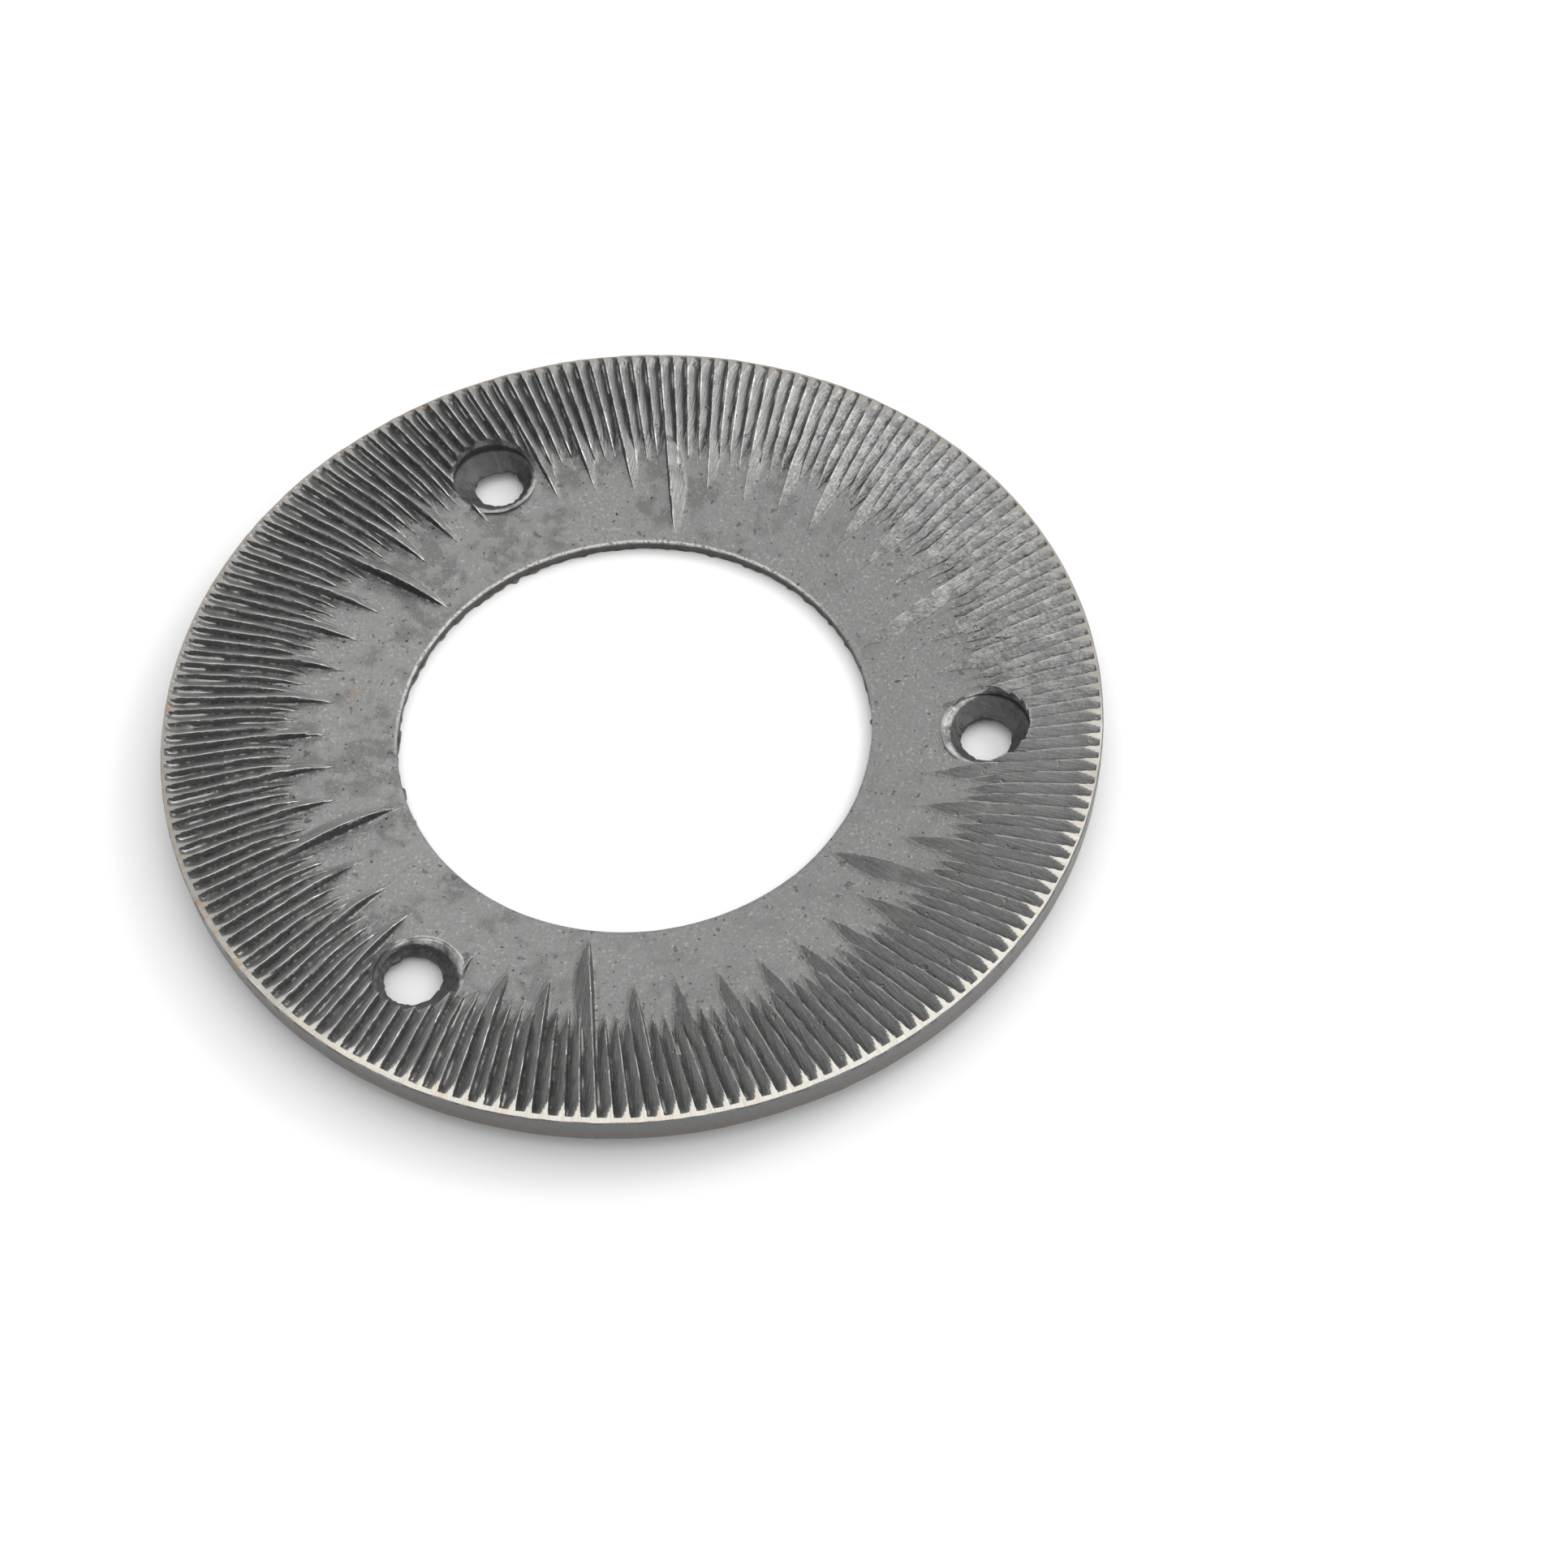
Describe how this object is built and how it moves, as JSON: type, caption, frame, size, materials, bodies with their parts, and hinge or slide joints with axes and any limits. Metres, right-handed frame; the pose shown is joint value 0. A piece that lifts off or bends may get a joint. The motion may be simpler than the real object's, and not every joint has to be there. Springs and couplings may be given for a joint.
{
  "type": "grain mill grinding disc",
  "caption": "Dished cast-iron grinding disc for a hand grain mill, with a wide bore, countersunk screw holes and a dress of straight saw teeth in stepped lengths.",
  "frame": {"origin": "centre of the seat round the bore, on the back: the middle of the face that the disc rests on", "axes": "+Z along the bore's axis, out of the toothed face; +X through the middle of one screw hole"},
  "size_m": [0.15, 0.15, 0.0086],
  "materials": {
    "cast_iron": "grey casting, satin, rough in the breast, with a pale ground land round the rim"
  },
  "bodies": {
    "root": {"grinding_disc": "cast_iron"}
  },
  "joints": []
}
